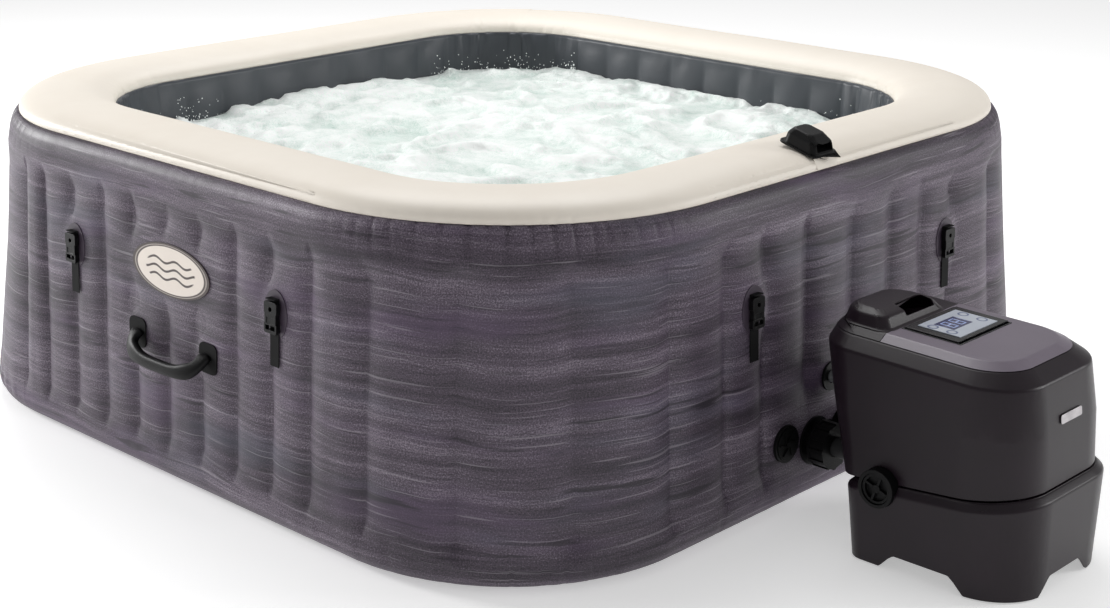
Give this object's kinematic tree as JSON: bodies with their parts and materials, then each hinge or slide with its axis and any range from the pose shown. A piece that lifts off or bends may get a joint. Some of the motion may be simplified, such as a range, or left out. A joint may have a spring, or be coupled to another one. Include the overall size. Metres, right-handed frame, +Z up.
{
  "type": "inflatable hot tub",
  "caption": "Square inflatable hot tub with a quilted plank-print wall, puffed pale rim and deep water well, joined by collared hoses to a moulded pump and heater base.",
  "frame": {"origin": "centre of the tub on the floor it stands on", "axes": "+X from the tub towards the control base, -Y towards the side with the oval badge, +Z up"},
  "size_m": [2.5178, 2.0472, 0.7452],
  "materials": {
    "wall_skin": "printed vinyl, satin",
    "rim_skin": "satin vinyl",
    "inner_skin": "satin vinyl",
    "floor_skin": "matte vinyl",
    "web_cloth": "coated web",
    "webbing": "woven",
    "badge_vinyl": "printed vinyl",
    "black_plastic": "satin",
    "buckle_plastic": "satin",
    "base_plastic": "satin",
    "lid_plastic": "satin",
    "gloss_black": "gloss",
    "screen": "gloss",
    "badge_metal": "satin",
    "hose_rubber": "matte",
    "grey_plastic": "satin",
    "steel": "brushed",
    "motor_metal": "satin",
    "board": "coated"
  },
  "bodies": {
    "tub": {"air_duct": "grey_plastic", "air_hose": "hose_rubber", "air_valve_seat": "black_plastic", "back_handle": "black_plastic", "base_floor": "black_plastic", "base_skirt": "base_plastic", "blower_housing": "grey_plastic", "blower_motor": "motor_metal", "blower_port": "black_plastic", "bottom_sheet": "floor_skin", "bottom_weld_band": "wall_skin", "bubble_channel": "inner_skin", "buckle_patches": "wall_skin", "buckle_straps": "webbing", "circuit_board": "board", "dock_strap": "rim_skin", "foot_pads": "hose_rubber", "front_badge": "badge_metal", "front_handle": "black_plastic", "handle_cup": "black_plastic", "handle_patches": "webbing", "heater_element": "steel", "heater_tube": "steel", "housing_screws": "steel", "inner_grilles": "grey_plastic", "inner_wall": "inner_skin", "internal_webs": "web_cloth", "outer_wall": "wall_skin", "panel_tray": "gloss_black", "port_sleeves": "grey_plastic", "pump_motor": "motor_metal", "pump_volute": "grey_plastic", "rear_hood": "base_plastic", "rim_dock": "black_plastic", "top_cover": "lid_plastic", "top_ring": "rim_skin", "transfer_pipe": "grey_plastic", "upper_housing": "base_plastic", "wall_badge": "badge_vinyl", "wall_flanges": "black_plastic", "water_hoses": "hose_rubber"},
    "buckle_front_a": {"buckle_front_a": "buckle_plastic"},
    "buckle_front_b": {"buckle_front_b": "buckle_plastic"},
    "buckle_right_a": {"buckle_right_a": "buckle_plastic"},
    "buckle_right_b": {"buckle_right_b": "buckle_plastic"},
    "buckle_back_a": {"buckle_back_a": "buckle_plastic"},
    "buckle_back_b": {"buckle_back_b": "buckle_plastic"},
    "buckle_left_a": {"buckle_left_a": "buckle_plastic"},
    "buckle_left_b": {"buckle_left_b": "buckle_plastic"},
    "air_valve_cap": {"air_valve_cap": "black_plastic"},
    "inlet_collar": {"inlet_collar": "black_plastic"},
    "outlet_collar": {"outlet_collar": "black_plastic"},
    "air_collar": {"air_collar": "black_plastic"},
    "blower_port_cap": {"blower_port_cap": "black_plastic"},
    "panel": {"control_panel": "gloss_black", "screen_glass": "screen"},
    "impeller": {"impeller": "grey_plastic"},
    "blower_fan": {"blower_fan": "grey_plastic"}
  },
  "joints": [
    {"name": "buckle_front_a_swing", "type": "hinge", "parent": "tub", "child": "buckle_front_a", "pos_m": [-0.3255, -0.96955, 0.47044], "axis": [-1, 0, 0], "range_deg": [0, 100]},
    {"name": "buckle_front_b_swing", "type": "hinge", "parent": "tub", "child": "buckle_front_b", "pos_m": [0.3405, -0.96955, 0.47044], "axis": [-1, 0, 0], "range_deg": [0, 100]},
    {"name": "buckle_right_a_swing", "type": "hinge", "parent": "tub", "child": "buckle_right_a", "pos_m": [0.96955, -0.313, 0.47044], "axis": [0, -1, 0], "range_deg": [0, 100]},
    {"name": "buckle_right_b_swing", "type": "hinge", "parent": "tub", "child": "buckle_right_b", "pos_m": [0.96955, 0.353, 0.47044], "axis": [0, -1, 0], "range_deg": [0, 100]},
    {"name": "buckle_back_a_swing", "type": "hinge", "parent": "tub", "child": "buckle_back_a", "pos_m": [0.333, 0.96955, 0.47044], "axis": [1, 0, 0], "range_deg": [0, 100]},
    {"name": "buckle_back_b_swing", "type": "hinge", "parent": "tub", "child": "buckle_back_b", "pos_m": [-0.333, 0.96955, 0.47044], "axis": [1, 0, 0], "range_deg": [0, 100]},
    {"name": "buckle_left_a_swing", "type": "hinge", "parent": "tub", "child": "buckle_left_a", "pos_m": [-0.96955, 0.333, 0.47044], "axis": [0, 1, 0], "range_deg": [0, 100]},
    {"name": "buckle_left_b_swing", "type": "hinge", "parent": "tub", "child": "buckle_left_b", "pos_m": [-0.96955, -0.333, 0.47044], "axis": [0, 1, 0], "range_deg": [0, 100]},
    {"name": "air_valve_turn", "type": "hinge", "parent": "tub", "child": "air_valve_cap", "pos_m": [0.9749, -0.21, 0.148], "axis": [0.9989, 0, 0.0478], "range_deg": [0, 120]},
    {"name": "inlet_collar_turn", "type": "hinge", "parent": "tub", "child": "inlet_collar", "pos_m": [1.012, -0.112, 0.128], "axis": [1, 0, 0], "continuous": true},
    {"name": "outlet_collar_turn", "type": "hinge", "parent": "tub", "child": "outlet_collar", "pos_m": [1.012, -0.006, 0.128], "axis": [1, 0, 0], "continuous": true},
    {"name": "air_collar_turn", "type": "hinge", "parent": "tub", "child": "air_collar", "pos_m": [1.017, -0.059, 0.25], "axis": [1, 0, 0], "continuous": true},
    {"name": "port_cap_turn", "type": "hinge", "parent": "tub", "child": "blower_port_cap", "pos_m": [1.25, -0.3, 0.165], "axis": [0, -1, 0], "range_deg": [0, 90]},
    {"name": "panel_lift", "type": "slide", "parent": "tub", "child": "panel", "axis": [0.02, 0, 0.9998], "range_m": [0, 0.06]},
    {"name": "impeller_spin", "type": "hinge", "parent": "tub", "child": "impeller", "pos_m": [1.23, -0.112, 0.128], "axis": [1, 0, 0], "continuous": true},
    {"name": "fan_spin", "type": "hinge", "parent": "tub", "child": "blower_fan", "pos_m": [1.39, -0.118, 0.262], "axis": [0, 0, 1], "continuous": true}
  ]
}
